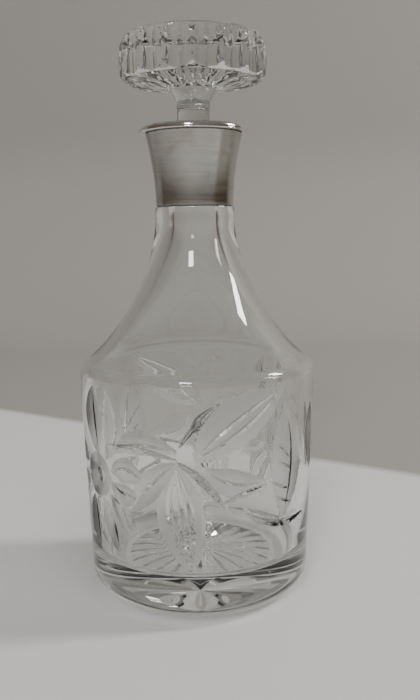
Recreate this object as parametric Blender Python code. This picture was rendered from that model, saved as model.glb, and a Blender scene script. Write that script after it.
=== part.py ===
"""Cut crystal spirit decanter with a silver collar and a lift-out cut stopper.

Run with: blender --background --python part.py
Units are metres, +Z is up, and the origin is the middle of the foot, on the
surface that the decanter stands on.  Every solid is turned about the Z axis.
"""
import math

import bmesh
import bpy
from mathutils import Matrix, Vector

# ---- driving dimensions: glass body ---------------------------------------------
GAP = 0.0003                  # clearance kept between touching pieces

BODY_SIDES = 48               # facets round the body, two for each ray of the star
HEEL_RADIUS = 0.0135          # round of the heel
FOOT_RADIUS = 0.0492          # side of the body where the heel ends
WAIST_RADIUS = 0.0520         # widest part of the body
WAIST_HEIGHT = 0.0870         # the side widens evenly up to here
SHOULDER_CORNER = 0.0060      # round between side and shoulder
SHOULDER_START = 0.1004       # height where that round starts
SHOULDER_TURN = 57.0          # degrees that it turns through
NECK_RADIUS = 0.01735         # neck just under the collar
NECK_STEP = 0.1712            # height of the step that the collar stands on
COLLAR_SEAT_RADIUS = 0.0154   # straight neck inside the collar
NECK_TOP = 0.2036             # lip of the glass
SHOULDER_PULL = (0.03717, 0.11320)   # curve handle at the shoulder
NECK_PULL = (0.01610, 0.14250)       # curve handle at the neck

# ---- driving dimensions: underside ----------------------------------------------
STAND_RING = (0.0332, 0.0357)  # flat ring that the decanter stands on
DOME_RISE = 0.0014             # hollow of the underside at the middle
STAR_REACH = (0.0035, 0.0325)  # inner and outer end of the star's rays
STAR_DEPTH = 0.0022            # depth of the mitre cuts

# ---- driving dimensions: inside of the body --------------------------------------
FLOOR_HEIGHT = 0.0205
FLOOR_RADIUS = 0.0405
FLOOR_CORNER = 0.0040          # round between floor and wall
CAVITY_RADIUS = 0.0474         # inside of the wall, high up
CAVITY_TOP = 0.0995            # height where the wall turns in under the shoulder
INSIDE_CORNER = 0.0030         # round between inside wall and shoulder
INSIDE_PULL = (0.03229, 0.11087)     # curve handle under the shoulder
BORE_PULL = (0.00935, 0.14886)       # curve handle in the neck
BORE_RADIUS = 0.00935
BORE_START = 0.1630
SOCKET_BOTTOM = (0.00975, 0.1752)    # ground socket, narrow end
SOCKET_TOP = (0.0108, 0.2012)        # ground socket, wide end
LIP_ROUND = 0.0008

# ---- driving dimensions: silver collar -------------------------------------------
SHEET = 0.0008                 # thickness of the silver sheet
SLEEVE_BOTTOM = (0.0169, 0.1716)
SLEEVE_TOP = (0.0209, 0.2021)
SLEEVE_PULLS = ((0.0170, 0.1830), (0.0186, 0.1920))
METAL_SIDES = 48
RIM_RADIUS = 0.0239            # widest edge of the rim
RIM_TOP = 0.2054
RIM_HOLE = 0.0119              # opening of the silver lip
RIM_PLATE = 0.0011             # thickness of the lip's top
RIM_SKIRT = 0.0201             # inside of the thick outer moulding

# ---- driving dimensions: stopper --------------------------------------------------
FLUTES = 16                    # hollow flutes round the head
FLUTE_STEPS = 4                # facets in each flute
FLUTE_DEPTH = 0.0016
HEAD_RADIUS = 0.0316
HEAD_CENTRE = 0.2335           # height of the middle of the head's side
HEAD_TOP = 0.2432
UNDER_OUTER = (0.0278, 0.2237)  # outer edge of the underside
UNDER_INNER = (0.0108, 0.2205)  # where the underside meets the stem
UNDERCUT_DEPTH = 0.0011         # radial hollow cuts in the underside
KNOP = (0.00745, 0.2136)        # small ring on the stem
STEM_RADIUS = 0.0070
PEG_TOP = (0.0104, 0.2012)      # ground peg, wide end
PEG_BOTTOM = (0.00938, 0.1775)  # ground peg, narrow end
STEM_START = 0.2046             # height where the stem is free of the peg


# ---- outline helpers ---------------------------------------------------------------
def arc(centre, radius, start, stop, steps):
    """Points (r, z) on an arc, angles in degrees from the outward direction."""
    points = []
    for step in range(steps + 1):
        angle = math.radians(start + (stop - start) * step / steps)
        points.append((centre[0] + radius * math.cos(angle),
                       centre[1] + radius * math.sin(angle)))
    return points


def curve(start, pull_start, pull_stop, stop, steps):
    """Points (r, z) on a cubic curve, its start left out."""
    points = []
    for step in range(1, steps + 1):
        t = step / steps
        s = 1.0 - t
        weights = (s ** 3, 3 * s * s * t, 3 * s * t * t, t ** 3)
        corners = (start, pull_start, pull_stop, stop)
        points.append(tuple(sum(w * c[axis] for w, c in zip(weights, corners))
                            for axis in (0, 1)))
    return points


def straight(start, stop, steps):
    """Points (r, z) on a straight line, its start left out."""
    return [(start[0] + (stop[0] - start[0]) * step / steps,
             start[1] + (stop[1] - start[1]) * step / steps)
            for step in range(1, steps + 1)]


# ---- solids ------------------------------------------------------------------------
def make_material(name, colour, roughness, metallic, glass=0.0):
    """A plain Principled material."""
    material = bpy.data.materials.new(name)
    material.use_nodes = True
    shader = material.node_tree.nodes["Principled BSDF"]
    shader.inputs["Base Color"].default_value = (*colour, 1.0)
    shader.inputs["Roughness"].default_value = roughness
    shader.inputs["Metallic"].default_value = metallic
    shader.inputs["Transmission Weight"].default_value = glass
    shader.inputs["IOR"].default_value = 1.54
    return material


def turned(name, outline, sides, material, ring=False, shape=None, pivot=0.0):
    """Turn an (r, z) outline about Z into one closed solid.

    ring joins the outline's end to its start; shape moves each vertex; pivot is
    the height of the object's origin.
    """
    mesh = bpy.data.meshes.new(name)
    work = bmesh.new()
    verts = [work.verts.new((r, 0.0, z)) for r, z in outline]
    pairs = list(zip(verts, verts[1:]))
    if ring:
        pairs.append((verts[-1], verts[0]))
    edges = [work.edges.new(pair) for pair in pairs]
    bmesh.ops.spin(work, geom=verts + edges, cent=(0, 0, 0), axis=(0, 0, 1),
                   angle=math.tau, steps=sides, use_merge=True)
    bmesh.ops.remove_doubles(work, verts=work.verts, dist=0.00001)
    if shape:
        for vert in work.verts:
            vert.co = shape(vert.co.copy())
    bmesh.ops.recalc_face_normals(work, faces=work.faces)
    work.transform(Matrix.Translation((0.0, 0.0, -pivot)))
    work.to_mesh(mesh)
    work.free()
    mesh.shade_smooth()
    mesh.set_sharp_from_angle(angle=math.radians(25))
    mesh.materials.append(material)
    thing = bpy.data.objects.new(name, mesh)
    thing.location.z = pivot
    bpy.context.scene.collection.objects.link(thing)
    return thing


def body_outline():
    """Outside of the glass from the middle of the base up to the lip."""
    foot_centre = (FOOT_RADIUS - HEEL_RADIUS, HEEL_RADIUS)
    corner_centre = (WAIST_RADIUS - SHOULDER_CORNER, SHOULDER_START)
    points = [(0.0, DOME_RISE)]
    points += [(r, DOME_RISE * (1 - (r / STAND_RING[0]) ** 2))
               for r in (STAR_REACH[0], 0.010, 0.018, 0.026, STAR_REACH[1])]
    points += [(STAND_RING[0], 0.0)]
    points += arc(foot_centre, HEEL_RADIUS, -90.0, 0.0, 7)
    points += straight(points[-1], (WAIST_RADIUS, WAIST_HEIGHT), 4)
    points += arc(corner_centre, SHOULDER_CORNER, 0.0, SHOULDER_TURN, 4)
    points += curve(points[-1], SHOULDER_PULL, NECK_PULL, (NECK_RADIUS, NECK_STEP - 0.0004), 12)
    points += [(NECK_RADIUS - 0.0004, NECK_STEP), (COLLAR_SEAT_RADIUS, NECK_STEP)]
    points += [(COLLAR_SEAT_RADIUS, NECK_TOP - LIP_ROUND),
               (COLLAR_SEAT_RADIUS - LIP_ROUND, NECK_TOP)]
    return points


def cavity_outline():
    """Inside of the glass from the lip down to the middle of the floor."""
    corner_centre = (FLOOR_RADIUS, FLOOR_HEIGHT + FLOOR_CORNER)
    points = [(SOCKET_TOP[0] + LIP_ROUND, NECK_TOP), SOCKET_TOP, SOCKET_BOTTOM]
    points += [(BORE_RADIUS, SOCKET_BOTTOM[1] - 0.0006), (BORE_RADIUS, BORE_START)]
    turn_centre = (CAVITY_RADIUS - INSIDE_CORNER, CAVITY_TOP)
    turn_in = arc(turn_centre, INSIDE_CORNER, SHOULDER_TURN, 0.0, 3)
    points += curve(points[-1], BORE_PULL, INSIDE_PULL, turn_in[0], 12)
    points += turn_in[1:] + [(CAVITY_RADIUS - 0.0006, 0.050)]
    points += arc(corner_centre, FLOOR_CORNER, 0.0, -90.0, 5)
    points += [(0.0, FLOOR_HEIGHT)]
    return points


def star_cut(place):
    """Sink the star's mitre cuts into the underside, one in every second facet."""
    radius = math.hypot(place.x, place.y)
    if place.z > 2 * DOME_RISE or radius > STAR_REACH[1] - 0.0001:
        return place
    if radius < STAR_REACH[0] - 0.0001:
        return Vector((place.x, place.y, place.z + STAR_DEPTH / 2))
    facet = round(math.atan2(place.y, place.x) / math.tau * BODY_SIDES)
    run = (radius - STAR_REACH[0]) / (STAR_REACH[1] - STAR_REACH[0])
    depth = STAR_DEPTH * math.sqrt(max(0.0, 1.0 - run ** 2))
    if facet % 2 == 0:
        depth *= 0.5 * (1 - run) ** 2
    return Vector((place.x, place.y, place.z + depth))


def make_body(glass):
    """The glass body: heel, side, shoulder, neck and bore in one piece."""
    outline = body_outline() + cavity_outline()
    return turned("decanter_body", outline, BODY_SIDES, glass, shape=star_cut)


def sleeve_outside(steps):
    """Outside of the flared sleeve from bottom to top."""
    return [SLEEVE_BOTTOM] + curve(SLEEVE_BOTTOM, *SLEEVE_PULLS, SLEEVE_TOP, steps)


def make_sleeve(silver):
    """The flared silver sleeve round the neck."""
    outside = sleeve_outside(8)
    inside = [(r - SHEET, z) for r, z in reversed(outside)]
    return turned("collar_sleeve", outside + inside, METAL_SIDES, silver, ring=True)


def make_rim(silver):
    """The silver moulding that covers the lip of the glass."""
    edge_low = SLEEVE_TOP[1] + GAP
    plate_low = RIM_TOP - RIM_PLATE
    round_centre = (RIM_RADIUS - 0.0017, RIM_TOP - 0.0021)
    outline = [(RIM_SKIRT, edge_low), (RIM_RADIUS - 0.0002, edge_low),
               (RIM_RADIUS, edge_low + 0.0003)]
    outline += arc(round_centre, 0.0017, 0.0, 78.0, 5)
    outline += [(RIM_RADIUS - 0.0040, RIM_TOP), (RIM_HOLE + 0.0004, RIM_TOP)]
    outline += [(RIM_HOLE, RIM_TOP - 0.0004), (RIM_HOLE, plate_low), (RIM_SKIRT, plate_low)]
    return turned("collar_rim", outline, METAL_SIDES, silver, ring=True)


def make_bedding(plaster):
    """The plaster between the straight neck and the flared sleeve."""
    top = NECK_TOP - 0.0010
    outside = [(r - SHEET - GAP, z) for r, z in sleeve_outside(8)]
    outside = [(outside[0][0], outside[0][1] + GAP)] + outside[1:-1]
    outside.append((RIM_SKIRT - GAP, SLEEVE_TOP[1] - 0.0010))
    outside.append((RIM_SKIRT - GAP, top))
    inner = COLLAR_SEAT_RADIUS + GAP
    outline = outside + [(inner, top), (inner, outside[0][1])]
    return turned("collar_bedding", outline, METAL_SIDES, plaster, ring=True)


def stopper_outline():
    """Ridge outline of the stopper from the end of the peg to the top of the head."""
    shoulder = (HEAD_RADIUS - 0.0042, HEAD_TOP - 0.0050)
    points = [(0.0, PEG_BOTTOM[1]), (PEG_BOTTOM[0] - 0.0010, PEG_BOTTOM[1])]
    points += [(PEG_BOTTOM[0], PEG_BOTTOM[1] + 0.0010), PEG_TOP]
    points += curve(PEG_TOP, (PEG_TOP[0], 0.2028), (STEM_RADIUS, 0.2030),
                    (STEM_RADIUS, STEM_START), 3)
    points += [(STEM_RADIUS, KNOP[1] - 0.0010), KNOP, (KNOP[0] + 0.0001, KNOP[1] + 0.0008)]
    points += curve(points[-1], (0.0085, 0.2165), (0.0094, 0.2192), UNDER_INNER, 3)
    points += straight(UNDER_INNER, UNDER_OUTER, 3)
    points += curve(UNDER_OUTER, (0.0302, 0.2242), (0.0315, 0.2262), (0.0315, 0.2283), 3)
    points += [(HEAD_RADIUS, HEAD_CENTRE), (HEAD_RADIUS - 0.0005, 0.2376)]
    points += curve(points[-1], (0.0307, 0.2401), (0.0297, 0.2416), (0.0278, 0.2421), 4)
    points += [(shoulder[0] - 0.0090, HEAD_TOP - 0.0003), (0.0, HEAD_TOP)]
    return points


def flute_radius(turn):
    """Distance from the axis to a hollow flute, turn measured from its middle."""
    half_pitch = math.pi / FLUTES
    half_width = HEAD_RADIUS * math.sin(half_pitch)
    hollow = FLUTE_DEPTH - HEAD_RADIUS * (1 - math.cos(half_pitch))
    wheel = (half_width ** 2 + hollow ** 2) / (2 * hollow)
    centre = HEAD_RADIUS - FLUTE_DEPTH + wheel
    return centre * math.cos(turn) - math.sqrt(wheel ** 2 - (centre * math.sin(turn)) ** 2)


def stopper_cuts(place):
    """Cut the flutes round the head and the radial hollows under it."""
    radius = math.hypot(place.x, place.y)
    if place.z < UNDER_INNER[1] - 0.0001 or radius < 0.001:
        return place
    pitch = math.tau / FLUTES
    turn = (math.atan2(place.y, place.x) % pitch) - pitch / 2
    kept = min(radius, flute_radius(turn))
    run = (radius - UNDER_INNER[0]) / (UNDER_OUTER[0] - UNDER_INNER[0])
    lift = 0.0
    if place.z < UNDER_OUTER[1] + 0.0001 and 0.0 < run <= 1.001:
        lift = UNDERCUT_DEPTH * math.sqrt(run) * (1 - (2 * turn / pitch) ** 2)
    return Vector((place.x * kept / radius, place.y * kept / radius, place.z + lift))


def make_stopper(glass):
    """The stopper: fluted head, stem and ground peg in one piece of glass."""
    return turned("stopper", stopper_outline(), FLUTES * FLUTE_STEPS, glass,
                  shape=stopper_cuts, pivot=PEG_TOP[1])


def main():
    """Clear the scene and model the decanter."""
    for old in list(bpy.data.objects):
        bpy.data.objects.remove(old, do_unlink=True)
    body_glass = make_material("body_glass", (0.93, 0.95, 0.93), 0.02, 0.0, 1.0)
    stopper_glass = make_material("stopper_glass", (0.94, 0.95, 0.94), 0.02, 0.0, 1.0)
    sleeve_silver = make_material("sleeve_silver", (0.72, 0.70, 0.66), 0.28, 1.0)
    rim_silver = make_material("rim_silver", (0.78, 0.76, 0.73), 0.14, 1.0)
    plaster = make_material("bedding_plaster", (0.78, 0.75, 0.68), 0.9, 0.0)
    make_body(body_glass)
    make_sleeve(sleeve_silver)
    make_rim(rim_silver)
    make_bedding(plaster)
    make_stopper(stopper_glass)


main()
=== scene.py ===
import logging
import math
from dataclasses import dataclass, field
from enum import Enum

import bmesh
import bpy
import numpy as np
from mathutils import Matrix, Vector


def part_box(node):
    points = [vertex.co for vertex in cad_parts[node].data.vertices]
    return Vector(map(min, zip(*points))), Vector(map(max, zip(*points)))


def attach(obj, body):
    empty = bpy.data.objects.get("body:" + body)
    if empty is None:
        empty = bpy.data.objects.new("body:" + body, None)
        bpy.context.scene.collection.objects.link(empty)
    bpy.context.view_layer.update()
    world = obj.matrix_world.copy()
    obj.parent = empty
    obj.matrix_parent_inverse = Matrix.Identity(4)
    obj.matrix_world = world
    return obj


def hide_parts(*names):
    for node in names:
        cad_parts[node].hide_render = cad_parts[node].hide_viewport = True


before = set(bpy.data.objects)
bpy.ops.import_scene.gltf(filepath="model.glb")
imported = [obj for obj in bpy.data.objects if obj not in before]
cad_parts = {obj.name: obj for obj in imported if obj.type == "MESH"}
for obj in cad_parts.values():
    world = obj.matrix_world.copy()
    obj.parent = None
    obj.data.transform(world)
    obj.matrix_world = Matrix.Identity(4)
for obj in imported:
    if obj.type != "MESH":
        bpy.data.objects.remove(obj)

LOG = logging.getLogger("decanter")
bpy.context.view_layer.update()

MM = 0.001
CRYSTAL_IOR = 1.545
Point = tuple[float, float]
Colour = tuple[float, float, float]


class CutShape(Enum):
    """Section that a cutting wheel leaves in the glass."""

    MITRE = "mitre"
    HOLLOW = "hollow"
    BOWL = "bowl"


class CutFinish(Enum):
    """Surface of a cut."""

    MATT = 1
    POLISHED = 2


# ---- outlines ----------------------------------------------------------------------
def arc(centre: Point, radius: float, start: float, stop: float, steps: int) -> list[Point]:
    """Points on an arc.

    Args:
        centre: Middle of the arc as (r, z).
        radius: Radius of the arc.
        start: First angle in degrees from the outward direction.
        stop: Last angle in degrees.
        steps: Number of equal steps.

    Returns:
        The (r, z) points, both ends included.
    """
    turns = [math.radians(start + (stop - start) * i / steps) for i in range(steps + 1)]
    return [(centre[0] + radius * math.cos(t), centre[1] + radius * math.sin(t)) for t in turns]


def curve(start: Point, pull_a: Point, pull_b: Point, stop: Point, steps: int) -> list[Point]:
    """Points on a cubic curve.

    Args:
        start: First point.
        pull_a: Handle of the first point.
        pull_b: Handle of the last point.
        stop: Last point.
        steps: Number of steps.

    Returns:
        The points after the first one.
    """
    points = []
    for i in range(1, steps + 1):
        t = i / steps
        s = 1.0 - t
        weights = (s ** 3, 3 * s * s * t, 3 * s * t * t, t ** 3)
        corners = (start, pull_a, pull_b, stop)
        points.append((sum(w * c[0] for w, c in zip(weights, corners)),
                       sum(w * c[1] for w, c in zip(weights, corners))))
    return points


def straight(start: Point, stop: Point, steps: int) -> list[Point]:
    """Points on a straight line.

    Args:
        start: First point.
        stop: Last point.
        steps: Number of steps.

    Returns:
        The points after the first one.
    """
    return [(start[0] + (stop[0] - start[0]) * i / steps,
             start[1] + (stop[1] - start[1]) * i / steps) for i in range(1, steps + 1)]


# ---- mesh helpers ------------------------------------------------------------------
def finish_mesh(work: bmesh.types.BMesh, name: str, sharp: float) -> bpy.types.Object:
    """Write a bmesh to a new smooth-shaded object at the origin.

    Args:
        work: The modelled bmesh, which is freed.
        name: Name of the piece.
        sharp: Angle in degrees past which an edge stays crisp.

    Returns:
        The new object, linked to the scene.
    """
    bmesh.ops.recalc_face_normals(work, faces=work.faces)
    mesh = bpy.data.meshes.new(name)
    work.to_mesh(mesh)
    work.free()
    mesh.shade_smooth()
    mesh.set_sharp_from_angle(angle=math.radians(sharp))
    piece = bpy.data.objects.new(name, mesh)
    bpy.context.scene.collection.objects.link(piece)
    return piece


def turn_outline(outline: list[Point], sides: int, ring: bool = False) -> bmesh.types.BMesh:
    """Spin an outline about Z into one closed surface.

    Args:
        outline: The (r, z) points in order.
        sides: Number of columns round the axis.
        ring: Join the end of the outline to its start.

    Returns:
        The bmesh with doubles merged.
    """
    work = bmesh.new()
    verts = [work.verts.new((r, 0.0, z)) for r, z in outline]
    pairs = list(zip(verts, verts[1:]))
    if ring:
        pairs.append((verts[-1], verts[0]))
    edges = [work.edges.new(pair) for pair in pairs]
    bmesh.ops.spin(work, geom=verts + edges, cent=(0, 0, 0), axis=(0, 0, 1),
                   angle=math.tau, steps=sides, use_merge=True)
    bmesh.ops.remove_doubles(work, verts=work.verts, dist=0.000004)
    return work


# ---- finishes ----------------------------------------------------------------------
def nodes_of(material: bpy.types.Material) -> tuple[bpy.types.NodeTree, bpy.types.Node]:
    """Give a material's node tree and its Principled shader.

    Args:
        material: A material with nodes.

    Returns:
        The tree and the shader node.
    """
    return material.node_tree, material.node_tree.nodes["Principled BSDF"]


def math_node(tree: bpy.types.NodeTree, kind: str, a: object, b: object) -> bpy.types.NodeSocket:
    """Add a Math node.

    Args:
        tree: Tree to add it to.
        kind: The operation.
        a: A socket or a number.
        b: A socket or a number.

    Returns:
        The result socket.
    """
    node = tree.nodes.new("ShaderNodeMath")
    node.operation = kind
    for slot, value in zip(node.inputs, (a, b)):
        if isinstance(value, bpy.types.NodeSocket):
            tree.links.new(value, slot)
        else:
            slot.default_value = value
    return node.outputs[0]


def map_range(tree: bpy.types.NodeTree, value: bpy.types.NodeSocket,
              source: Point, target: Point) -> bpy.types.NodeSocket:
    """Add a Map Range node.

    Args:
        tree: Tree to add it to.
        value: Socket to map.
        source: Range that comes in.
        target: Range that goes out.

    Returns:
        The result socket.
    """
    node = tree.nodes.new("ShaderNodeMapRange")
    tree.links.new(value, node.inputs["Value"])
    for name, number in zip(("From Min", "From Max", "To Min", "To Max"), source + target):
        node.inputs[name].default_value = number
    return node.outputs["Result"]


def blend(tree: bpy.types.NodeTree, factor: bpy.types.NodeSocket, first: object,
          second: Colour) -> bpy.types.NodeSocket:
    """Add a blend of two colours.

    Args:
        tree: Tree to add it to.
        factor: Socket with the share of the second colour.
        first: A colour, or a socket that gives one.
        second: The second colour.

    Returns:
        The blended colour's socket.
    """
    node = tree.nodes.new("ShaderNodeMix")
    node.data_type = "RGBA"
    if isinstance(first, bpy.types.NodeSocket):
        tree.links.new(first, node.inputs["A"])
    else:
        node.inputs["A"].default_value = (*first, 1.0)
    node.inputs["B"].default_value = (*second, 1.0)
    tree.links.new(factor, node.inputs["Factor"])
    return node.outputs["Result"]


def noise(tree: bpy.types.NodeTree, scale: float, detail: float,
          stretch: tuple[float, float, float] = (1, 1, 1)) -> bpy.types.NodeSocket:
    """Add a noise pattern on Object coordinates.

    Args:
        tree: Tree to add it to.
        scale: Size of the pattern, waves in a metre.
        detail: Number of finer layers.
        stretch: Scale along X, Y and Z.

    Returns:
        The pattern's factor socket.
    """
    coords = tree.nodes.new("ShaderNodeTexCoord")
    mapping = tree.nodes.new("ShaderNodeMapping")
    mapping.inputs["Scale"].default_value = stretch
    pattern = tree.nodes.new("ShaderNodeTexNoise")
    pattern.inputs["Scale"].default_value = scale
    pattern.inputs["Detail"].default_value = detail
    tree.links.new(coords.outputs["Object"], mapping.inputs["Vector"])
    tree.links.new(mapping.outputs["Vector"], pattern.inputs["Vector"])
    return pattern.outputs["Fac"]


def handling_group() -> bpy.types.NodeTree:
    """Build the shared group of finger smears, dust and hairline scratches.

    Returns:
        A node group with the outputs Smear, Scratch and Height.
    """
    group = bpy.data.node_groups.new("handling_marks", "ShaderNodeTree")
    sockets = group.interface
    for name, value in (("Smear Scale", 60.0), ("Scratch Scale", 300.0), ("Grain Scale", 2400.0)):
        socket = sockets.new_socket(name, in_out="INPUT", socket_type="NodeSocketFloat")
        socket.default_value = value
    for name in ("Smear", "Scratch", "Height"):
        sockets.new_socket(name, in_out="OUTPUT", socket_type="NodeSocketFloat")
    source = group.nodes.new("NodeGroupInput")
    result = group.nodes.new("NodeGroupOutput")
    coords = group.nodes.new("ShaderNodeTexCoord")

    smear = group.nodes.new("ShaderNodeTexNoise")
    smear.inputs["Detail"].default_value = 4.0
    smear.inputs["Distortion"].default_value = 0.6
    group.links.new(coords.outputs["Object"], smear.inputs["Vector"])
    group.links.new(source.outputs["Smear Scale"], smear.inputs["Scale"])

    cells = group.nodes.new("ShaderNodeTexVoronoi")
    cells.feature = "DISTANCE_TO_EDGE"
    warp = group.nodes.new("ShaderNodeMapping")
    warp.inputs["Scale"].default_value = (0.35, 0.35, 1.0)
    warp.inputs["Rotation"].default_value = (0.5, 0.35, 0.2)
    group.links.new(coords.outputs["Object"], warp.inputs["Vector"])
    group.links.new(warp.outputs["Vector"], cells.inputs["Vector"])
    group.links.new(source.outputs["Scratch Scale"], cells.inputs["Scale"])
    hairline = map_range(group, cells.outputs["Distance"], (0.0, 0.03), (1.0, 0.0))
    patch = map_range(group, smear.outputs["Fac"], (0.5, 0.7), (0.0, 1.0))
    scratch = math_node(group, "MULTIPLY", hairline, patch)

    grain = group.nodes.new("ShaderNodeTexNoise")
    group.links.new(coords.outputs["Object"], grain.inputs["Vector"])
    group.links.new(source.outputs["Grain Scale"], grain.inputs["Scale"])
    height = math_node(group, "SUBTRACT", grain.outputs["Fac"], scratch)

    group.links.new(smear.outputs["Fac"], result.inputs["Smear"])
    group.links.new(scratch, result.inputs["Scratch"])
    group.links.new(height, result.inputs["Height"])
    return group


def handling(tree: bpy.types.NodeTree, marks: bpy.types.NodeTree,
             scales: dict[str, float]) -> bpy.types.Node:
    """Add the shared group of handling marks to a material.

    Args:
        tree: Tree of the material.
        marks: The shared group.
        scales: The group's scales that differ from its own.

    Returns:
        The group's node.
    """
    node = tree.nodes.new("ShaderNodeGroup")
    node.node_tree = marks
    for name, scale in scales.items():
        node.inputs[name].default_value = scale
    return node


def bump(tree: bpy.types.NodeTree, shader: bpy.types.Node, height: bpy.types.NodeSocket,
         strength: float, distance: float) -> None:
    """Drive the shader's normal with a Bump node.

    Args:
        tree: Tree that holds the shader.
        shader: The Principled shader.
        height: Height socket.
        strength: Strength of the bump.
        distance: Depth of the bump in metres.
    """
    node = tree.nodes.new("ShaderNodeBump")
    node.inputs["Strength"].default_value = strength
    node.inputs["Distance"].default_value = distance
    tree.links.new(height, node.inputs["Height"])
    tree.links.new(node.outputs["Normal"], shader.inputs["Normal"])


@dataclass(frozen=True)
class Finish:
    """Base of all finishes: a name, a colour and a roughness range."""

    name: str
    colour: Colour
    smooth: float
    rough: float

    def start(self) -> bpy.types.Material:
        """Make the material and set its plain values.

        Returns:
            The new material.
        """
        material = bpy.data.materials.new(self.name)
        material.use_nodes = True
        _, shader = nodes_of(material)
        shader.inputs["Base Color"].default_value = (*self.colour, 1.0)
        shader.inputs["Roughness"].default_value = self.smooth
        return material


@dataclass(frozen=True)
class PolishedCrystal(Finish):
    """Clear lead crystal, polished, with faint smears and hand-made waviness."""

    wave: float = 0.00004

    def make(self, marks: bpy.types.NodeTree) -> bpy.types.Material:
        """Build the material.

        Args:
            marks: The shared group of handling marks.

        Returns:
            The finished material.
        """
        material = self.start()
        tree, shader = nodes_of(material)
        shader.inputs["Transmission Weight"].default_value = 1.0
        shader.inputs["IOR"].default_value = CRYSTAL_IOR
        group = handling(tree, marks, {"Smear Scale": 38.0, "Scratch Scale": 420.0})
        smear = map_range(tree, group.outputs["Smear"], (0.45, 0.8), (self.smooth, self.rough))
        rough = math_node(tree, "ADD", smear,
                          math_node(tree, "MULTIPLY", group.outputs["Scratch"], 0.05))
        tree.links.new(rough, shader.inputs["Roughness"])
        bump(tree, shader, noise(tree, 55.0, 1.0), 0.35, self.wave)
        return material


@dataclass(frozen=True)
class MattCrystal(Finish):
    """Crystal as the stone wheel leaves it: matt, whitish and finely grained."""

    clearness: float = 0.92

    def make(self, marks: bpy.types.NodeTree) -> bpy.types.Material:
        """Build the material.

        Args:
            marks: The shared group of handling marks.

        Returns:
            The finished material.
        """
        material = self.start()
        tree, shader = nodes_of(material)
        shader.inputs["Transmission Weight"].default_value = self.clearness
        shader.inputs["IOR"].default_value = CRYSTAL_IOR
        group = handling(tree, marks, {"Smear Scale": 160.0, "Grain Scale": 5200.0})
        line = tree.nodes.new("ShaderNodeAttribute")
        line.attribute_name = "grain"
        wheel = tree.nodes.new("ShaderNodeTexNoise")
        wheel.noise_dimensions = "1D"
        wheel.inputs["Scale"].default_value = 1.1
        wheel.inputs["Detail"].default_value = 3.0
        tree.links.new(line.outputs["Fac"], wheel.inputs["W"])
        rough = map_range(tree, wheel.outputs["Fac"], (0.35, 0.65), (self.smooth, self.rough))
        tree.links.new(rough, shader.inputs["Roughness"])
        height = math_node(tree, "ADD", math_node(tree, "MULTIPLY", wheel.outputs["Fac"], 3.0),
                           math_node(tree, "MULTIPLY", group.outputs["Height"], 0.25))
        bump(tree, shader, height, 0.6, 0.00008)
        return material


@dataclass(frozen=True)
class Silver(Finish):
    """Old silver: turning rings, hairlines and a warm tarnish."""

    tarnish: Colour = (0.27, 0.24, 0.19)
    ring_scale: float = 900.0
    ring_depth: float = 0.00002
    tarnish_amount: float = 0.5

    def make(self, marks: bpy.types.NodeTree) -> bpy.types.Material:
        """Build the material.

        Args:
            marks: The shared group of handling marks.

        Returns:
            The finished material.
        """
        material = self.start()
        tree, shader = nodes_of(material)
        shader.inputs["Metallic"].default_value = 1.0
        group = handling(tree, marks, {"Smear Scale": 90.0, "Scratch Scale": 520.0})
        rings = noise(tree, self.ring_scale, 3.0, (0.05, 0.05, 1.0))
        streaks = map_range(tree, rings, (0.3, 0.7), (0.0, 1.0))
        patch = map_range(tree, group.outputs["Smear"], (0.42, 0.68), (0.0, self.tarnish_amount))

        stain = math_node(tree, "MULTIPLY", patch, map_range(tree, streaks, (0, 1), (0.6, 1.0)))
        tone = blend(tree, stain, self.colour, self.tarnish)
        tree.links.new(tone, shader.inputs["Base Color"])

        rough = map_range(tree, streaks, (0.0, 1.0), (self.smooth, self.rough))
        rough = math_node(tree, "ADD", rough,
                          math_node(tree, "MULTIPLY", group.outputs["Scratch"], 0.15))
        tree.links.new(rough, shader.inputs["Roughness"])
        height = math_node(tree, "SUBTRACT", rings,
                           math_node(tree, "MULTIPLY", group.outputs["Scratch"], 0.2))
        bump(tree, shader, height, 0.3, self.ring_depth)
        return material


@dataclass(frozen=True)
class Plaster(Finish):
    """Old plaster of the collar's bedding."""

    def make(self, marks: bpy.types.NodeTree) -> bpy.types.Material:
        """Build the material.

        Args:
            marks: The shared group of handling marks.

        Returns:
            The finished material.
        """
        material = self.start()
        tree, shader = nodes_of(material)
        group = handling(tree, marks, {})
        rough = map_range(tree, group.outputs["Smear"], (0.3, 0.7), (self.smooth, self.rough))
        tree.links.new(rough, shader.inputs["Roughness"])
        bump(tree, shader, noise(tree, 900.0, 4.0), 0.6, 0.0002)
        return material


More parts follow.
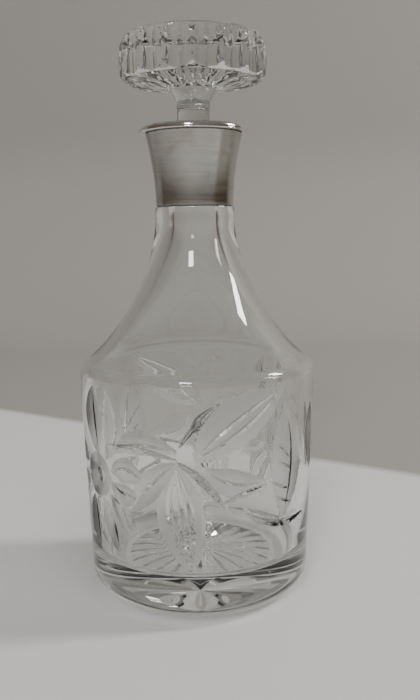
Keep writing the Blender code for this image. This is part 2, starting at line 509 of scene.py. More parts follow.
@dataclass(frozen=True)
class StageCloth(Finish):
    """Plain pale cloth: painted shade past a line behind the decanter, standing in for a backdrop
    in shade; a paler tone up the wall that makes up for the weaker light on it; and a painted
    glow beneath the glass.
    """

    # Painted shade: the cloth past the line is darker to stand in for a backdrop in shade.
    painted_shade: Colour = (0.35, 0.335, 0.315)
    # Painted light: the wall is paler to make up for the weaker light that falls on it.
    rise: Colour = (0.385, 0.375, 0.357)
    line_turn: float = -34.1
    line_distance: float = 0.205
    line_blur: float = 0.006
    rise_height: float = 0.25
    # Painted light: a glow on the cloth beneath the glass, fading out between these two radii.
    painted_glow: float = 0.24
    painted_glow_reach: Point = (0.043, 0.049)

    def make(self) -> bpy.types.Material:
        """Build the material.

        Returns:
            The finished material.
        """
        material = self.start()
        tree, shader = nodes_of(material)
        shader.inputs["Specular IOR Level"].default_value = 0.1
        turn = math.radians(self.line_turn)
        coords = tree.nodes.new("ShaderNodeTexCoord")
        reach = tree.nodes.new("ShaderNodeVectorMath")
        reach.operation = "DOT_PRODUCT"
        reach.inputs[1].default_value = (-math.sin(turn), math.cos(turn), 0.0)
        split = tree.nodes.new("ShaderNodeSeparateXYZ")
        away = tree.nodes.new("ShaderNodeVectorMath")
        away.operation = "LENGTH"
        for node in (reach, split, away):
            tree.links.new(coords.outputs["Object"], node.inputs[0])
        edge = (self.line_distance - self.line_blur, self.line_distance + self.line_blur)
        # The cloth turns to the painted shade past the line, and to the paler painted-light tone
        # up the wall.
        past = map_range(tree, reach.outputs["Value"], edge, (0.0, 1.0))
        high = map_range(tree, split.outputs["Z"], (0.0, self.rise_height), (0.0, 1.0))
        tone = blend(tree, high, blend(tree, past, self.colour, self.painted_shade), self.rise)
        tree.links.new(tone, shader.inputs["Base Color"])
        # Painted light: the cloth beneath the glass glows, standing in for the light that the
        # glass gathers there.
        shader.inputs["Emission Color"].default_value = (*self.colour, 1.0)
        painted_glow = map_range(tree, away.outputs["Value"], self.painted_glow_reach, (self.painted_glow, 0.0))
        tree.links.new(painted_glow, shader.inputs["Emission Strength"])
        bump(tree, shader, noise(tree, 700.0, 3.0), 0.15, 0.0004)
        return material


@dataclass
class Finishes:
    """All finishes of the decanter, made once."""

    body: bpy.types.Material
    matt: bpy.types.Material
    head: bpy.types.Material
    sleeve: bpy.types.Material
    rim: bpy.types.Material
    plaster: bpy.types.Material

    @classmethod
    def build(cls) -> "Finishes":
        """Make every material.

        Returns:
            The set of materials.
        """
        marks = handling_group()
        clear = (0.975, 0.985, 0.975)
        return cls(
            body=PolishedCrystal("body_crystal", clear, 0.0, 0.035).make(marks),
            matt=MattCrystal("matt_cut_crystal", (0.95, 0.96, 0.96), 0.34, 0.5).make(marks),
            # Painted shade: the stopper's crystal is tinted greyer than the body's so that it
            # looks darker.
            head=PolishedCrystal("stopper_crystal_painted_dark", (0.86, 0.87, 0.845), 0.0, 0.03).make(marks),
            # Painted shade: the sleeve's silver is much darker than the rim's, standing in for
            # the dark room that it reflects.
            sleeve=Silver("sleeve_silver", (0.43, 0.43, 0.40), 0.15, 0.27).make(marks),
            rim=Silver("rim_silver", (0.86, 0.84, 0.80), 0.09, 0.16, ring_depth=0.000008,
                       tarnish_amount=0.3).make(marks),
            plaster=Plaster("bedding_plaster", (0.72, 0.69, 0.62), 0.75, 0.95).make(marks),
        )


# ---- cutting -----------------------------------------------------------------------
@dataclass(frozen=True)
class Cut:
    """One wheel cut on the side of the body.

    Places are (degrees round the body from the front, height in mm); the front is -Y
    and degrees grow to the right.
    """

    start: Point
    bend: Point
    stop: Point
    half_width: float
    depth: float
    shape: CutShape = CutShape.HOLLOW
    finish: CutFinish = CutFinish.MATT


def groove(start: Point, bend: Point, stop: Point, half_width: float, depth: float) -> Cut:
    """Describe a polished mitre cut, such as a stem or a rib.

    Args:
        start: One end.
        bend: The point that the cut bends toward.
        stop: The other end.
        half_width: Half of its width in mm.
        depth: Its depth in mm.

    Returns:
        The cut.
    """
    return Cut(start, bend, stop, half_width, depth, CutShape.MITRE, CutFinish.POLISHED)


@dataclass(frozen=True)
class Leaf:
    """A petal or leaf: a matt blade with polished ribs along it."""

    start: Point
    bend: Point
    stop: Point
    half_width: float
    ribs: tuple[float, ...] = (0.0,)
    rib_width: float = 0.8
    depth: float = 1.0

    def cuts(self, side: float) -> list[Cut]:
        """List the leaf's cuts.

        Args:
            side: Radius of the glass in mm, to turn mm into degrees.

        Returns:
            The blade and its ribs.
        """
        per_mm = math.degrees(1.0 / side)
        found = [Cut(self.start, self.bend, self.stop, self.half_width, self.depth)]
        run = ((self.stop[0] - self.start[0]) / per_mm, self.stop[1] - self.start[1])
        size = math.hypot(*run)
        across = (run[1] / size * per_mm, -run[0] / size)
        for place in self.ribs:
            shift = place * self.half_width * 1.7
            bend = (self.bend[0] + across[0] * shift, self.bend[1] + across[1] * shift)
            ends = [tuple(a + (b - a) * 0.1 for a, b in zip(end, self.bend))
                    for end in (self.start, self.stop)]
            found.append(groove(ends[0], bend, ends[1], self.rib_width, self.rib_width * 0.75))
        return found


@dataclass
class CutPattern:
    """The cut decoration, twice round the body."""

    repeats: int = 2
    petals: tuple[Leaf, ...] = (
        Leaf((-54.0, 69.0), (-61.0, 84.0), (-57.0, 98.0), 7.0),
        Leaf((-48.0, 68.0), (-37.0, 80.0), (-46.0, 98.0), 5.5),
        Leaf((-46.0, 71.0), (-30.0, 82.0), (-9.0, 74.0), 4.6, (0.35,), 0.7),
        Leaf((-45.0, 63.0), (-36.0, 67.5), (-26.0, 61.0), 5.5),
        Leaf((-46.0, 59.0), (-36.0, 52.0), (-28.0, 55.0), 4.5),
        Leaf((-47.0, 53.0), (-38.0, 49.0), (-35.0, 38.0), 4.6),
        Leaf((-52.0, 50.5), (-46.0, 42.0), (-42.0, 28.0), 5.2),
        Leaf((-61.0, 50.0), (-65.0, 40.0), (-58.0, 27.0), 5.2),
        Leaf((-66.0, 57.0), (-78.0, 53.0), (-87.0, 47.0), 5.2),
        Leaf((-66.0, 64.0), (-79.0, 68.0), (-86.0, 79.0), 5.2),
    )
    leaves: tuple[Leaf, ...] = (
        Leaf((-2.7, 70.8), (14.0, 87.5), (43.5, 99.0), 9.8, (0.0, 0.55), 1.0),
        Leaf((-9.9, 70.5), (-10.5, 47.0), (-3.0, 24.5), 10.2, (-0.55, -0.18, 0.18, 0.55), 1.2),
        Leaf((-9.0, 70.4), (-21.0, 63.5), (-35.0, 47.5), 5.5, (0.0,), 0.6),
        Leaf((2.0, 68.5), (14.0, 58.0), (33.0, 60.5), 5.6, (0.0,), 0.6),
        Leaf((42.5, 92.0), (49.0, 66.0), (43.0, 42.0), 9.6, (-0.4,), 0.7),
        Leaf((68.0, 88.0), (64.0, 72.0), (72.0, 58.0), 5.0),
    )
    eyes: tuple[Cut, ...] = (
        Cut((-56.0, 59.8), (-56.0, 60.0), (-56.0, 60.2), 9.4, 1.5, CutShape.BOWL),
        Cut((-56.0, 59.8), (-56.0, 60.0), (-56.0, 60.2), 5.6, 2.0, CutShape.BOWL,
            CutFinish.POLISHED),
    )
    stems: tuple[Cut, ...] = (
        groove((-47.0, 74.5), (-26.0, 76.5), (-8.0, 71.0), 1.1, 1.3),
        groove((-11.5, 71.5), (3.0, 64.5), (13.4, 49.2), 1.8, 2.1),
        groove((20.0, 50.0), (36.5, 36.5), (62.0, 41.5), 1.6, 1.8),
        groove((8.0, 52.5), (20.0, 57.5), (34.0, 59.0), 0.7, 0.9),
        groove((38.3, 75.0), (44.0, 71.0), (50.0, 66.0), 0.7, 0.7),
        groove((39.0, 67.0), (44.0, 65.5), (51.0, 62.0), 0.7, 0.7),
        groove((35.0, 60.0), (41.0, 56.0), (49.0, 54.0), 0.7, 0.7),
        groove((38.0, 53.0), (43.0, 50.0), (50.0, 48.0), 0.7, 0.7),
    )
    steps: int = 20
    taper: float = 0.85
    reach: float = 0.5

    def cuts(self, side: float) -> list[Cut]:
        """List one repeat of the pattern.

        Args:
            side: Radius of the glass in mm.

        Returns:
            Every cut of the repeat.
        """
        found = []
        for leaf in self.petals + self.leaves:
            found += leaf.cuts(side)
        return found + list(self.eyes + self.stems)

    def near(self, cut: Cut, side: float, turns: np.ndarray,
             heights: np.ndarray) -> np.ndarray:
        """Find the points that a cut may reach.

        Args:
            cut: The cut.
            side: Radius of the glass in mm.
            turns: Degrees round the body.
            heights: Heights in mm.

        Returns:
            The numbers of the points in the cut's own box.
        """
        ends = np.array([cut.start, cut.bend, cut.stop])
        low, high = ends.min(axis=0), ends.max(axis=0)
        lap = 360.0 / self.repeats
        centre, reach = (low[0] + high[0]) / 2, (high[0] - low[0]) / 2
        reach += math.degrees((cut.half_width + self.reach) / side)
        offset = np.abs((turns - centre + lap / 2) % lap - lap / 2)
        rise = cut.half_width + self.reach
        return np.nonzero((offset < reach) & (heights > low[1] - rise)
                          & (heights < high[1] + rise))[0]

    def trace(self, cut: Cut, side: float, turns: np.ndarray,
              heights: np.ndarray) -> tuple[np.ndarray, np.ndarray, np.ndarray]:
        """Find the nearest place on a cut's path for many points of the side.

        Args:
            cut: The cut.
            side: Radius of the glass in mm.
            turns: Degrees round the body.
            heights: Heights in mm.

        Returns:
            Distance in mm, share of the way along the path, and the way to the
            path as (right, up) in mm.
        """
        t = np.linspace(0.0, 1.0, self.steps + 1)[:, None]
        ends = np.array([cut.start, cut.bend, cut.stop])
        path = (1 - t) ** 2 * ends[0] + 2 * t * (1 - t) * ends[1] + t * t * ends[2]
        centre = cut.bend[0]
        lap = 360.0 / self.repeats
        per_degree = math.radians(side)
        path[:, 0] = (path[:, 0] - centre) * per_degree
        across = ((turns - centre + lap / 2) % lap - lap / 2) * per_degree
        points = np.stack([across, heights], axis=1)
        best = np.full(len(points), 1e9)
        share = np.zeros(len(points))
        way = np.zeros((len(points), 2))
        for step, (low, high) in enumerate(zip(path, path[1:])):
            run = high - low
            along = np.clip((points - low) @ run / (run @ run), 0.0, 1.0)
            reach = low + along[:, None] * run - points
            distance = np.hypot(reach[:, 0], reach[:, 1])
            nearer = distance < best
            best[nearer] = distance[nearer]
            share[nearer] = (step + along[nearer]) / self.steps
            way[nearer] = reach[nearer]
        return best, share, way

    def sink(self, side: float, turns: np.ndarray,
             heights: np.ndarray) -> tuple[np.ndarray, np.ndarray, np.ndarray]:
        """Depth of the cutting at many points of the side.

        Args:
            side: Radius of the glass in mm.
            turns: Degrees round the body.
            heights: Heights in mm.

        Returns:
            Depth in mm, the number of the deepest cut (-1 where there is none), and the
            grain: the distance in mm from that cut's middle line, signed by the side, with
            an offset of its own for every cut.
        """
        depth, grain = np.zeros(len(turns)), np.zeros(len(turns))
        owner = np.full(len(turns), -1)
        for index, cut in enumerate(self.cuts(side)):
            near = self.near(cut, side, turns, heights)
            distance, share, way = self.trace(cut, side, turns[near], heights[near])
            size = np.ones(len(near))
            if cut.shape is not CutShape.BOWL:
                size = np.sin(math.pi * np.clip(share, 0.0, 1.0)) ** self.taper
            run = distance / np.maximum(cut.half_width * size, 0.001)
            drop = 1.0 - (run if cut.shape is CutShape.MITRE else run * run)
            value = cut.depth * size * drop
            if cut.shape is CutShape.MITRE:
                value = np.where(value > 0.0, value + depth[near], 0.0)
            deeper = value > depth[near] + 0.0001
            depth[near[deeper]] = value[deeper]
            owner[near[deeper]] = index
            run_way = ((cut.stop[0] - cut.start[0]) * math.radians(side),
                       cut.stop[1] - cut.start[1])
            hand = np.sign(way[:, 0] * run_way[1] - way[:, 1] * run_way[0])
            grain[near[deeper]] = (distance * hand)[deeper] + index * 37.0
        return depth, owner, grain


# ---- the glass body ----------------------------------------------------------------
@dataclass
class GlassBody:
    """Body, shoulder, neck and bore: one piece of blown and cut crystal."""

    finishes: Finishes
    pattern: CutPattern = field(default_factory=CutPattern)
    rays: int = 24
    columns: int = 192
    heel_radius: float = 0.0135
    foot_radius: float = 0.0492
    waist_height: float = 0.0870
    corner_radius: float = 0.0060
    corner_height: float = 0.1004
    corner_turn: float = 57.0
    neck_radius: float = 0.01735
    seat_radius: float = 0.0154
    shoulder_pull: Point = (0.03717, 0.11320)
    neck_pull: Point = (0.01610, 0.14250)
    stand_ring: float = 0.0332
    dome_rise: float = 0.0014
    star_reach: Point = (0.0030, 0.0322)
    star_depth: float = 0.0021
    star_slope: float = 0.72
    floor_height: float = 0.0205
    floor_radius: float = 0.0405
    floor_corner: float = 0.0040
    cavity_radius: float = 0.0474
    cavity_top: float = 0.0995
    inside_corner: float = 0.0030
    inside_pull: Point = (0.03229, 0.11087)
    wall_pulls: tuple[Point, Point] = ((0.0474, 0.070), (0.0466, 0.040))
    bore_pull: Point = (0.00935, 0.14886)
    bore_radius: float = 0.00935
    bore_start: float = 0.1630
    socket_bottom: Point = (0.00975, 0.1752)
    socket_top: Point = (0.0108, 0.2012)
    lip_round: float = 0.0008
    band: Point = (0.0150, 0.1003)
    side_margin: float = 0.0015
    refinement: tuple[float, ...] = (0.00004, 0.00013, 0.00042)

    def __post_init__(self) -> None:
        """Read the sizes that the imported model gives."""
        _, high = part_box("decanter_body")
        sleeve_low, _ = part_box("collar_sleeve")
        self.waist_radius = high[0]
        self.neck_top = high[2]
        self.step_height = sleeve_low[2] - 0.0004

    def side_radius(self, height: float) -> float:
        """Radius of the outside of the side wall.

        Args:
            height: Height in metres.

        Returns:
            The radius in metres.
        """
        share = (height - self.heel_radius) / (self.waist_height - self.heel_radius)
        share = min(1.0, max(0.0, share))
        return self.foot_radius + (self.waist_radius - self.foot_radius) * share

    def outside(self) -> list[Point]:
        """Outline from the middle of the underside up to the lip.

        Returns:
            The (r, z) points.
        """
        points = [(self.stand_ring * i / 20, self.dome_rise * (1 - (i / 20) ** 2))
                  for i in range(21)]
        foot = (self.foot_radius - self.heel_radius, self.heel_radius)
        points += arc(foot, self.heel_radius, -90.0, 0.0, 16)
        points += straight(points[-1], (self.waist_radius, self.waist_height), 43)
        points += straight(points[-1], (self.waist_radius, self.corner_height), 8)
        corner = (self.waist_radius - self.corner_radius, self.corner_height)
        points += arc(corner, self.corner_radius, 0.0, self.corner_turn, 8)[1:]
        step = (self.neck_radius, self.step_height - 0.0004)
        points += curve(points[-1], self.shoulder_pull, self.neck_pull, step, 22)
        points += [(self.neck_radius - 0.00012, self.step_height - 0.00012),
                   (self.neck_radius - 0.0004, self.step_height),
                   (self.seat_radius, self.step_height)]
        points += straight(points[-1], (self.seat_radius, self.neck_top - self.lip_round), 4)
        points += [(self.seat_radius - self.lip_round, self.neck_top)]
        return points

    def inside(self) -> list[Point]:
        """Outline from the lip down to the middle of the floor.

        Returns:
            The (r, z) points.
        """
        points = [(self.socket_top[0] + self.lip_round, self.neck_top), self.socket_top]
        points += straight(self.socket_top, self.socket_bottom, 6)
        points += [(self.bore_radius, self.socket_bottom[1] - 0.0006),
                   (self.bore_radius, self.bore_start)]
        turn_centre = (self.cavity_radius - self.inside_corner, self.cavity_top)
        turn_in = arc(turn_centre, self.inside_corner, self.corner_turn, 0.0, 8)
        points += curve(points[-1], self.bore_pull, self.inside_pull, turn_in[0], 22)
        points += turn_in[1:]
        wall_low = (self.floor_radius + self.floor_corner, self.floor_height + self.floor_corner)
        points += curve(points[-1], *self.wall_pulls, wall_low, 12)
        corner = (self.floor_radius, self.floor_height + self.floor_corner)
        points += arc(corner, self.floor_corner, 0.0, -90.0, 10)[1:]
        points += straight(points[-1], (0.0, self.floor_height), 6)
        return points

    def cut_star(self, work: bmesh.types.BMesh) -> None:
        """Sink the rays of the star into the underside.

        Args:
            work: The turned body.
        """
        pitch = math.tau / self.rays
        middle = sum(self.star_reach) / 2
        half = (self.star_reach[1] - self.star_reach[0]) / 2
        for vert in work.verts:
            radius = math.hypot(vert.co.x, vert.co.y)
            if vert.co.z > 2 * self.dome_rise or radius > self.star_reach[1]:
                continue
            offset = (math.atan2(vert.co.y, vert.co.x) % pitch) - pitch / 2
            run = max(0.0, radius - middle) / half
            depth = self.star_depth * math.sqrt(max(0.0, 1 - run ** 2))
            vert.co.z += max(0.0, depth - abs(offset) * radius * self.star_slope)

    def build(self) -> bpy.types.Object:
        """Turn, cut and dress the body.

        Returns:
            The finished piece.
        """
        work = turn_outline(self.outside() + self.inside(), self.columns)
        self.cut_star(work)
        self.cut_side(work)
        body = finish_mesh(work, "crystal_body", 25.0)
        for material in (self.finishes.body, self.finishes.matt):
            body.data.materials.append(material)
        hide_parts("decanter_body")
        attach(body, "decanter")
        return body

    def sink(self, places: np.ndarray) -> tuple[np.ndarray, np.ndarray, np.ndarray]:
        """Depth of the cutting at places on the side.

        Args:
            places: Places in metres, one in a row.

        Returns:
            Depth in metres, the number of the cut (-1 for none), and its grain in mm.
        """
        turns = np.degrees(np.arctan2(places[:, 1], places[:, 0])) + 90.0
        depth, owner, grain = self.pattern.sink(self.waist_radius / MM, turns,
                                                places[:, 2] / MM)
        return depth * MM, owner, grain

    def refine(self, work: bmesh.types.BMesh, deviation: float) -> None:
        """Split the side's faces wherever a cut bends or ends inside them.

        Args:
            work: The turned body, not yet cut.
            deviation: Depth in metres that a face may miss by.
        """
        low, high = self.band
        faces = [face for face in work.faces
                 if all(low < v.co.z < high and self.on_side(v.co) for v in face.verts)]
        corners = [vert for face in faces for vert in face.verts]
        counts = np.array([len(face.verts) for face in faces])
        starts = np.concatenate([[0], np.cumsum(counts)[:-1]])
        depth, owner, _ = self.sink(np.array([vert.co for vert in corners]))
        centre_depth, centre_owner, _ = self.sink(
            np.array([face.calc_center_median() for face in faces]))
        mean = np.add.reduceat(depth, starts) / counts
        mixed = (np.maximum.reduceat(owner, starts) != np.minimum.reduceat(owner, starts))
        mixed |= centre_owner != owner[starts]
        chosen = (np.abs(centre_depth - mean) > deviation) | (
            mixed & (np.maximum.reduceat(depth, starts) > deviation))
        edges = {edge for face, split in zip(faces, chosen) if split for edge in face.edges}
        bmesh.ops.subdivide_edges(work, edges=list(edges), cuts=1, use_grid_fill=True)
        for vert in work.verts:
            if low < vert.co.z < high and self.on_side(vert.co):
                reach = self.side_radius(vert.co.z) / math.hypot(vert.co.x, vert.co.y)
                vert.co.x *= reach
                vert.co.y *= reach

    def on_side(self, place: Vector) -> bool:
        """Tell whether a place lies on the outside of the side wall."""
        return math.hypot(place.x, place.y) > self.side_radius(place.z) - self.side_margin

    def cut_side(self, work: bmesh.types.BMesh) -> None:
        """Sink the flowers and leaves into the side.

        Args:
            work: The turned body.
        """
        for deviation in self.refinement:
            self.refine(work, deviation)
        matt = work.verts.layers.float.new("matt")
        grain = work.verts.layers.float.new("grain")
        low, high = self.band
        verts = [v for v in work.verts if low < v.co.z < high and self.on_side(v.co)]
        depth, owner, lines = self.sink(np.array([vert.co for vert in verts]))
        stone = [cut.finish is CutFinish.MATT
                 for cut in self.pattern.cuts(self.waist_radius / MM)] + [False]
        for vert, fall, index, line in zip(verts, depth.tolist(), owner.tolist(),
                                           lines.tolist()):
            radius = math.hypot(vert.co.x, vert.co.y)
            vert.co.x *= 1.0 - fall / radius
            vert.co.y *= 1.0 - fall / radius
            vert[matt] = 1.0 if stone[index] else 0.0
            vert[grain] = line
        for face in work.faces:
            share = sum(vert[matt] for vert in face.verts) / len(face.verts)
            face.material_index = 1 if share > 0.5 else 0
        LOG.info("side cut: %d points", len(verts))


# ---- the silver collar --------------------------------------------------------------
@dataclass
class SilverCollar:
    """Flared sleeve, soldered rim and the plaster behind them."""

    finishes: Finishes
    sheet: float = 0.0008
    bottom_radius: float = 0.0169
    pulls: tuple[Point, Point] = ((0.0170, 0.1830), (0.0186, 0.1920))
    rim_hole: float = 0.0119
    rim_plate: float = 0.0011
    rim_skirt: float = 0.0201
    columns: int = 160

    def __post_init__(self) -> None:
        """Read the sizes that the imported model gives."""
        sleeve_low, sleeve_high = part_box("collar_sleeve")
        rim_low, rim_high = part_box("collar_rim")
        self.sleeve_low = (self.bottom_radius, sleeve_low[2])
        self.sleeve_high = (sleeve_high[0], sleeve_high[2])
        self.rim_radius = rim_high[0]
        self.rim_low = rim_low[2]
        self.rim_top = rim_high[2]

    def build_sleeve(self) -> bpy.types.Object:
        """Turn the flared sleeve with its rolled lower edge.

        Returns:
            The finished piece.
        """
        outside = [self.sleeve_low] + curve(self.sleeve_low, *self.pulls, self.sleeve_high, 28)
        inside = [(r - self.sheet, z) for r, z in reversed(outside)]
        inside[-1] = (inside[-1][0], inside[-1][1] + 0.0001)
        lip = [(outside[0][0] - 0.0003, outside[0][1]),
               (outside[0][0] - 0.00006, outside[0][1] + 0.00012)]
        outline = lip + outside[1:] + inside
        piece = finish_mesh(turn_outline(outline, self.columns, ring=True), "silver_sleeve", 40.0)
        return self.dress(piece, "collar_sleeve", self.finishes.sleeve)

    def build_rim(self) -> bpy.types.Object:
        """Turn the rim with its bright bead, undercut and flat lip.

        Returns:
            The finished piece.
        """
        plate_low = self.rim_top - self.rim_plate
        bead = arc((self.rim_radius - 0.00035, self.rim_low + 0.00035), 0.00035, -90.0, 60.0, 8)
        round_centre = (self.rim_radius - 0.0019, self.rim_top - 0.0021)
        ovolo = arc(round_centre, 0.0017, -8.0, 80.0, 12)
        outline = [(self.rim_skirt, self.rim_low)] + bead + ovolo
        outline += [(self.rim_radius - 0.0026, self.rim_top - 0.00035),
                    (self.rim_radius - 0.0030, self.rim_top - 0.00035)]
        outline += straight(outline[-1], (self.rim_radius - 0.0036, self.rim_top), 2)
        outline += straight(outline[-1], (self.rim_hole + 0.0006, self.rim_top), 5)
        outline += arc((self.rim_hole + 0.0005, self.rim_top - 0.0005), 0.0005, 90.0, 180.0, 6)
        outline += [(self.rim_hole, plate_low), (self.rim_skirt, plate_low)]
        piece = finish_mesh(turn_outline(outline, self.columns, ring=True), "silver_rim", 35.0)
        return self.dress(piece, "collar_rim", self.finishes.rim)

    def dress(self, piece: bpy.types.Object, node: str,
              material: bpy.types.Material) -> bpy.types.Object:
        """Give a collar piece its material and its place in the assembly.

        Args:
            piece: The modelled piece.
            node: CAD node that it stands for.
            material: Its finish.

        Returns:
            The same piece.
        """
        piece.data.materials.append(material)
        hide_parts(node)
        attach(piece, "decanter")
        return piece

    def dress_bedding(self) -> None:
        """Give the plaster bedding its material."""
        bedding = bpy.data.objects["collar_bedding"]
        bedding.data.materials.clear()
        bedding.data.materials.append(self.finishes.plaster)


# ---- the stopper --------------------------------------------------------------------
@dataclass
class Stopper:
    """Fluted head, stem and ground peg in one piece of crystal."""

    finishes: Finishes
    flutes: int = 16
    flute_steps: int = 14
    flute_depth: float = 0.0021
    under_outer: Point = (0.0278, 0.2237)
    under_inner: Point = (0.0108, 0.2205)
    undercut: float = 0.0011
    flare_pulls: tuple[Point, Point] = ((0.0082, 0.2165), (0.0092, 0.2192))
    low_corner: tuple[Point, ...] = ((0.0302, 0.2242), (0.0315, 0.2262), (0.0315, 0.2283))
    head_middle: float = 0.2335
    side_top: float = 0.2376
    high_corner: tuple[Point, ...] = ((0.0307, 0.2401), (0.0297, 0.2416), (0.0278, 0.2421))
    table_radius: float = 0.0184
    knop: Point = (0.00745, 0.2136)
    stem_start: float = 0.2046
    stem_radius: float = 0.0070
    peg_top: Point = (0.0104, 0.2012)
    peg_radius: float = 0.00938

    def __post_init__(self) -> None:
        """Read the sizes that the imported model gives."""
        low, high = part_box("stopper")
        self.peg_low = low[2]
        self.head_top = high[2]
        self.head_radius = high[0]

    def outline(self) -> list[Point]:
        """Outline along a ridge, from the end of the peg to the top of the head.

        Returns:
            The (r, z) points.
        """
        radius, top = self.head_radius, self.head_top
        knop_r, knop_z = self.knop
        points = [(0.0, self.peg_low), (self.peg_radius - 0.0010, self.peg_low)]
        points += [(self.peg_radius, self.peg_low + 0.0010)]
        points += straight(points[-1], self.peg_top, 8)
        stem_foot = (self.stem_radius, self.stem_start)
        points += curve(points[-1], (self.peg_top[0], self.peg_top[1] + 0.0016),
                        (self.stem_radius, self.stem_start - 0.0016), stem_foot, 7)
        points += straight(points[-1], (self.stem_radius, knop_z - 0.0011), 5)
        points += arc((self.stem_radius - 0.0001, knop_z), 0.00055, -60.0, 70.0, 8)
        start = (knop_r - 0.0001, knop_z + 0.0010)
        points += [start]
        points += curve(start, *self.flare_pulls, self.under_inner, 10)
        points += straight(self.under_inner, self.under_outer, 22)
        points += curve(self.under_outer, *self.low_corner, 9)
        points += straight(points[-1], (radius, self.head_middle), 6)
        points += straight(points[-1], (radius - 0.0005, self.side_top), 5)
        points += curve(points[-1], *self.high_corner, 10)
        points += straight(points[-1], (self.table_radius, top - 0.0003), 8)
        points += straight(points[-1], (0.0, top), 8)
        return points

    def flute_radius(self, turn: float) -> float:
        """Distance from the axis to a hollow flute.

        Args:
            turn: Angle from the middle of the flute, in radians.

        Returns:
            The radius in metres.
        """
        half_pitch = math.pi / self.flutes
        half_width = self.head_radius * math.sin(half_pitch)
        hollow = self.flute_depth - self.head_radius * (1 - math.cos(half_pitch))
        wheel = (half_width ** 2 + hollow ** 2) / (2 * hollow)
        centre = self.head_radius - self.flute_depth + wheel
        across = centre * math.sin(turn)
        return centre * math.cos(turn) - math.sqrt(wheel ** 2 - across ** 2)

    def cut_flutes(self, work: bmesh.types.BMesh) -> None:
        """Cut the flutes round the head and the radial hollows under it.

        Args:
            work: The turned stopper.
        """
        pitch = math.tau / self.flutes
        for vert in work.verts:
            radius = math.hypot(vert.co.x, vert.co.y)
            if vert.co.z < self.under_inner[1] - 0.0001 or radius < 0.001:
                continue
            turn = (math.atan2(vert.co.y, vert.co.x) % pitch) - pitch / 2
            kept = min(radius, self.flute_radius(turn))
            run = (radius - self.under_inner[0]) / (self.under_outer[0] - self.under_inner[0])
            if vert.co.z < self.under_outer[1] + 0.0001 and 0.0 < run <= 1.001:
                vert.co.z += self.undercut * math.sqrt(run) * (1 - (2 * turn / pitch) ** 2)
            vert.co.x *= kept / radius
            vert.co.y *= kept / radius

    def build(self) -> bpy.types.Object:
        """Turn, cut and dress the stopper.

        Returns:
            The finished piece.
        """
        work = turn_outline(self.outline(), self.flutes * self.flute_steps)
        self.cut_flutes(work)
        piece = finish_mesh(work, "crystal_stopper", 16.0)
        piece.data.materials.append(self.finishes.head)
        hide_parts("stopper")
        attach(piece, "stopper")
        return piece


# ---- the studio ---------------------------------------------------------------------
@dataclass(frozen=True)
class Lamp:
    """One area lamp: degrees to the right of the front, degrees up, metres and watts."""

    name: str
    azimuth: float
    elevation: float
    distance: float
    size: Point
    power: float
    colour: Colour = (1.0, 0.98, 0.95)
    aim: float = 0.13

    def hang(self) -> bpy.types.Object:
        """Hang the lamp and aim it at the middle of the decanter.

        Returns:
            The lamp.
        """
        data = bpy.data.lights.new(self.name, "AREA")
        data.shape = "RECTANGLE"
        data.size, data.size_y = self.size
        data.energy = self.power
        data.color = self.colour
        lamp = bpy.data.objects.new(self.name, data)
        turn, lift = math.radians(self.azimuth - 90.0), math.radians(self.elevation)
        way = Vector((math.cos(turn) * math.cos(lift), math.sin(turn) * math.cos(lift),
                      math.sin(lift)))
        lamp.location = way * self.distance + Vector((0, 0, self.aim))
        lamp.rotation_euler = way.to_track_quat("Z", "Y").to_euler()
        bpy.context.scene.collection.objects.link(lamp)
        return lamp


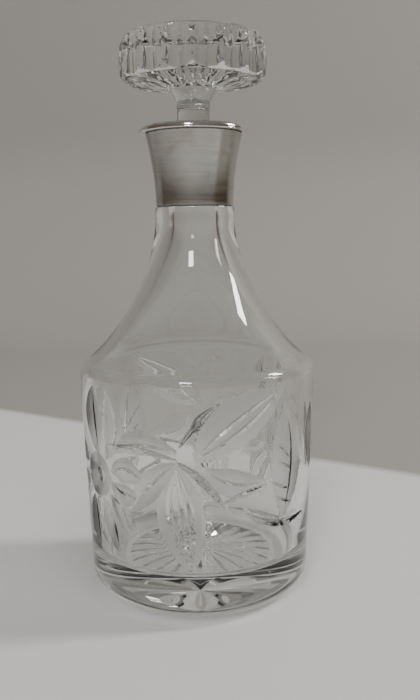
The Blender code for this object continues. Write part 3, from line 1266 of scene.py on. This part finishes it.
@dataclass
class Studio:
    """Floor, wall, soft light and camera."""

    floor_half: float = 3.0
    wall_distance: float = 1.1
    wall_height: float = 1.8
    wall_round: float = 0.35
    camera_place: tuple[float, float, float] = (0.0, -0.3489, 0.1590)
    camera_pitch: float = 8.33
    camera_yaw: float = 0.96
    camera_roll: float = -0.74
    lens: float = 40.32
    lamps: tuple[Lamp, ...] = (Lamp("near_lamp", -12.0, 31.0, 1.9, (0.34, 0.26), 11.0),
                               Lamp("side_lamp", 93.0, 34.0, 2.2, (0.32, 0.55), 28.0))
    sky_power: float = 1.12

    def build_stage(self) -> bpy.types.Object:
        """Lay the floor and sweep it up into a plain wall far behind.

        Returns:
            The sheet of floor and wall.
        """
        bend = (self.wall_distance - self.wall_round, self.wall_round)
        route = [(-self.floor_half, 0.0)]
        route += straight(route[-1], (bend[0], 0.0), 16)[1:-1]
        route += arc(bend, self.wall_round, -90.0, 0.0, 24)
        route += straight(route[-1], (self.wall_distance, self.wall_height), 8)[1:]
        work = bmesh.new()
        verts = [work.verts.new((-self.floor_half, y, z)) for y, z in route]
        edges = [work.edges.new(pair) for pair in zip(verts, verts[1:])]
        grown = bmesh.ops.extrude_edge_only(work, edges=edges)["geom"]
        moved = [part for part in grown if isinstance(part, bmesh.types.BMVert)]
        bmesh.ops.translate(work, verts=moved, vec=(2.0 * self.floor_half, 0, 0))
        sheet = finish_mesh(work, "studio_sheet", 60.0)
        cloth = StageCloth("stage_cloth", (0.72, 0.71, 0.705), 0.9, 0.9)
        sheet.data.materials.append(cloth.make())
        return sheet

    def build_world(self) -> None:
        """Set the soft surroundings: warm and dark low down, paler above and in front."""
        world = bpy.data.worlds.new("studio_air")
        bpy.context.scene.world = world
        world.use_nodes = True
        tree = world.node_tree
        background = tree.nodes["Background"]
        coords = tree.nodes.new("ShaderNodeTexCoord")
        split = tree.nodes.new("ShaderNodeSeparateXYZ")
        tree.links.new(coords.outputs["Generated"], split.inputs["Vector"])
        height = tree.nodes.new("ShaderNodeValToRGB")
        tones = height.color_ramp.elements
        tones[0].color = (0.065, 0.052, 0.042, 1.0)
        tones[1].color = (0.24, 0.235, 0.23, 1.0)
        for place, colour in ((0.47, (0.100, 0.066, 0.040)), (0.60, (0.12, 0.090, 0.065)),
                              (0.78, (0.17, 0.16, 0.15))):
            tones.new(place).color = (*colour, 1.0)
        rise = map_range(tree, split.outputs["Z"], (-1.0, 1.0), (0.0, 1.0))
        tree.links.new(rise, height.inputs["Fac"])
        tone = height.outputs["Color"]
        for axis, reach, colour in (("Y", (-0.45, -1.0), (0.21, 0.195, 0.17)),
                                    ("X", (-0.75, -1.0), (0.13, 0.090, 0.066))):
            share = map_range(tree, split.outputs[axis], reach, (0.0, 1.0))
            tone = blend(tree, share, tone, colour)
        tree.links.new(tone, background.inputs["Color"])
        background.inputs["Strength"].default_value = 0.85

    def build_lamps(self) -> None:
        """Hang the two lamps and the soft light from above."""
        for lamp in self.lamps:
            lamp.hang()
        sky = bpy.data.lights.new("soft_sky", "SUN")
        sky.energy = self.sky_power
        sky.angle = math.radians(40.0)
        sky.color = (1.0, 0.99, 0.975)
        soft_sky = bpy.data.objects.new("soft_sky", sky)
        soft_sky.rotation_euler = (math.radians(28.0), 0.0, math.radians(8.0))
        soft_sky.visible_glossy = False
        soft_sky.visible_transmission = False
        bpy.context.scene.collection.objects.link(soft_sky)

    def build_camera(self) -> bpy.types.Object:
        """Place the camera a little above the middle of the decanter.

        Returns:
            The camera object.
        """
        data = bpy.data.cameras.new("studio_camera")
        data.lens = self.lens
        data.sensor_width = 36.0
        data.clip_start = 0.01
        camera = bpy.data.objects.new("studio_camera", data)
        pitch, yaw, roll = (math.radians(a) for a in
                            (self.camera_pitch, self.camera_yaw, self.camera_roll))
        ahead = Vector((math.sin(yaw) * math.cos(pitch), math.cos(yaw) * math.cos(pitch),
                        -math.sin(pitch)))
        right = Vector((math.cos(yaw), -math.sin(yaw), 0.0))
        up = right.cross(ahead)
        turned_right = right * math.cos(roll) + up * math.sin(roll)
        turned_up = up * math.cos(roll) - right * math.sin(roll)
        basis = Matrix((turned_right, turned_up, -ahead)).transposed().to_4x4()
        camera.matrix_world = Matrix.Translation(self.camera_place) @ basis
        bpy.context.scene.collection.objects.link(camera)
        bpy.context.scene.camera = camera
        return camera


def main() -> None:
    """Build the decanter and its studio."""
    logging.basicConfig(level=logging.INFO, format="%(name)s: %(message)s")
    studio = Studio()
    studio.build_camera()
    studio.build_stage()
    studio.build_world()
    studio.build_lamps()
    finishes = Finishes.build()
    collar = SilverCollar(finishes)
    collar.dress_bedding()
    pieces = (GlassBody(finishes).build(), collar.build_sleeve(), collar.build_rim(),
              Stopper(finishes).build())
    for piece in pieces:
        LOG.info("%s: %d faces", piece.name, len(piece.data.polygons))


if __name__ == "__main__":
    main()
